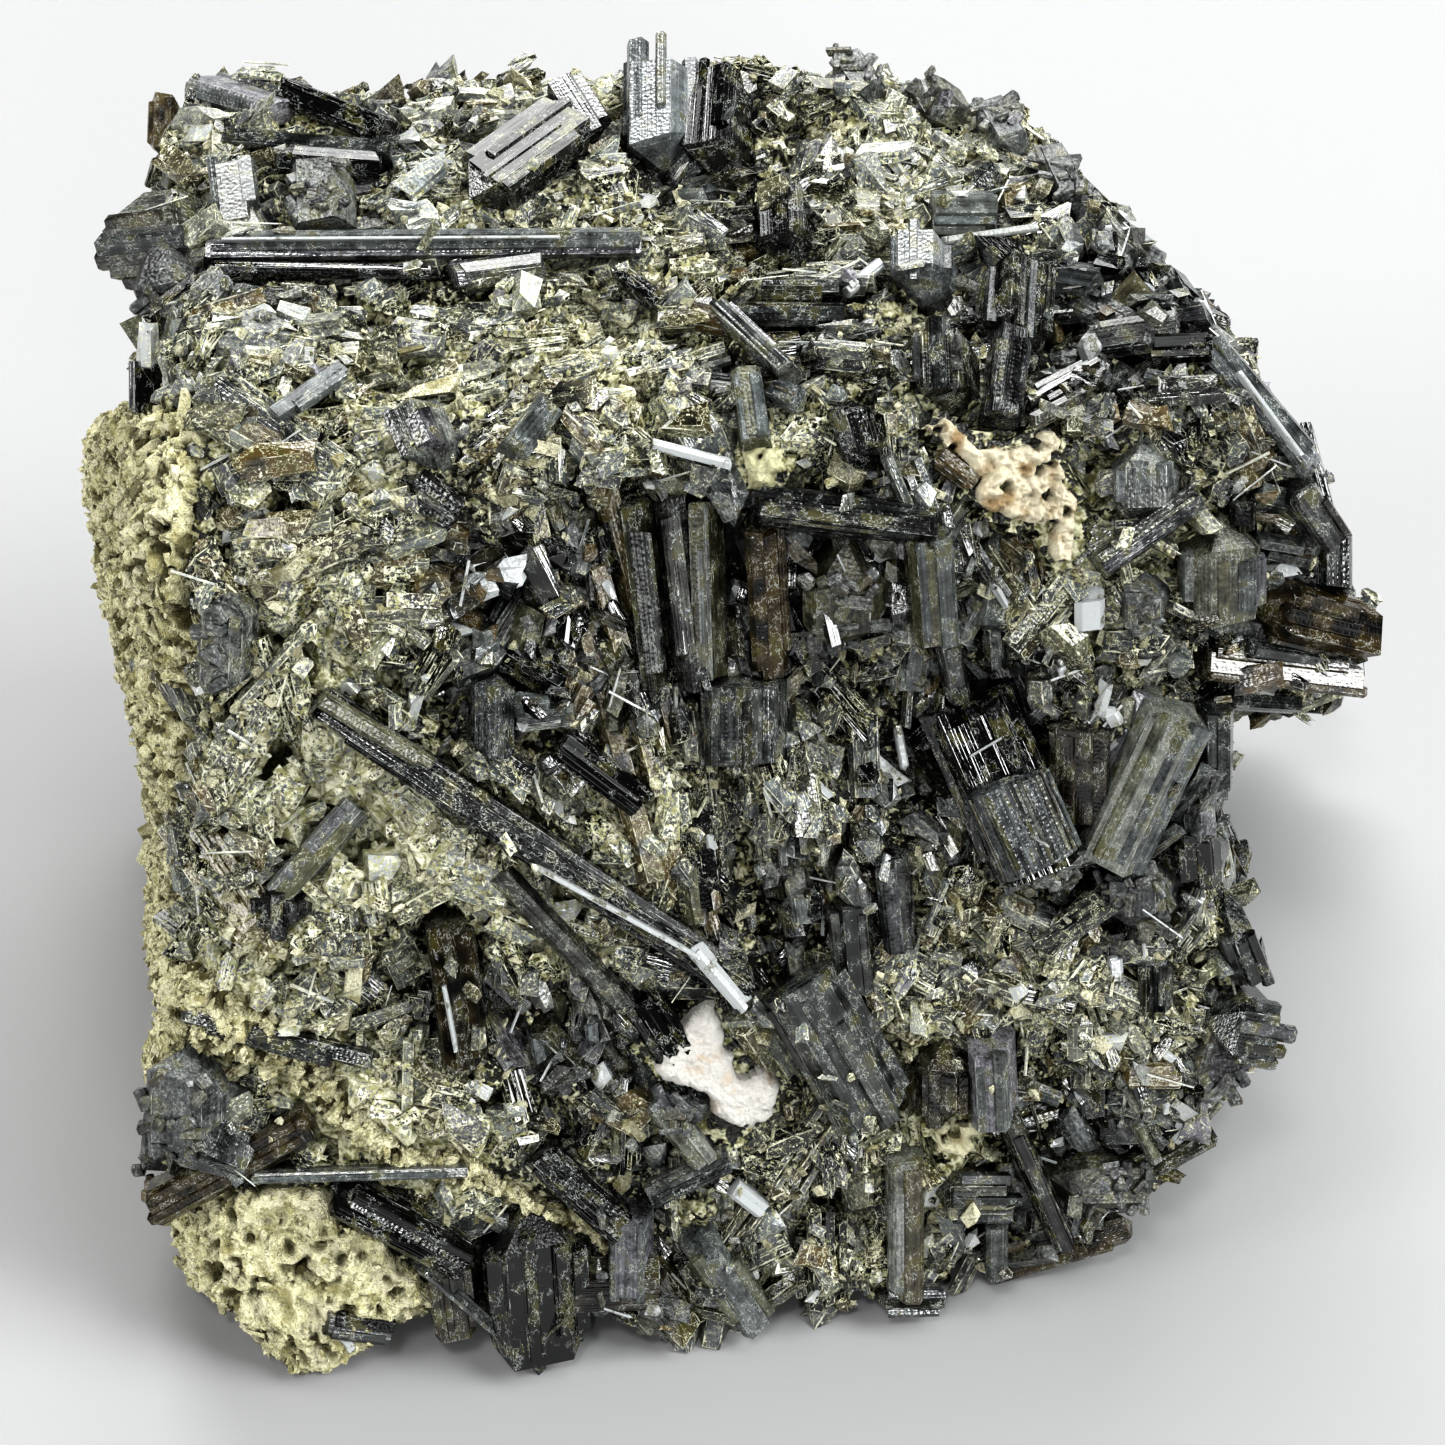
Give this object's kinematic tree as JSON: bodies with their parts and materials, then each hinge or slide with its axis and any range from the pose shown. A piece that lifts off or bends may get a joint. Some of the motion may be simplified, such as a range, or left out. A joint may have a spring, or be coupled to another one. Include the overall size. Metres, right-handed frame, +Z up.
{
  "type": "epidote crystal cluster",
  "caption": "Blocky hand specimen of intergrown dark epidote prisms with a granular pale crust on one side and small calcite and feldspar patches, resting on a flat base.",
  "frame": {"origin": "middle of the bounding box at the height of the flat base", "axes": "+X to the viewer's right, along the longest side; the sloping front face looks towards -Y; +Z up"},
  "size_m": [0.1346, 0.1106, 0.0944],
  "materials": {
    "dark_epidote": "glassy to satin, striated along the prisms",
    "granular_epidote": "rough, granular",
    "calcite": "matte, sugary",
    "feldspar": "matte"
  },
  "bodies": {
    "root": {"epidote_crystals": "dark_epidote", "granular_crust": "granular_epidote", "calcite_patch": "calcite", "feldspar_patch": "feldspar", "feldspar_bit_upper": "feldspar", "feldspar_bit_lower": "feldspar"}
  },
  "joints": []
}
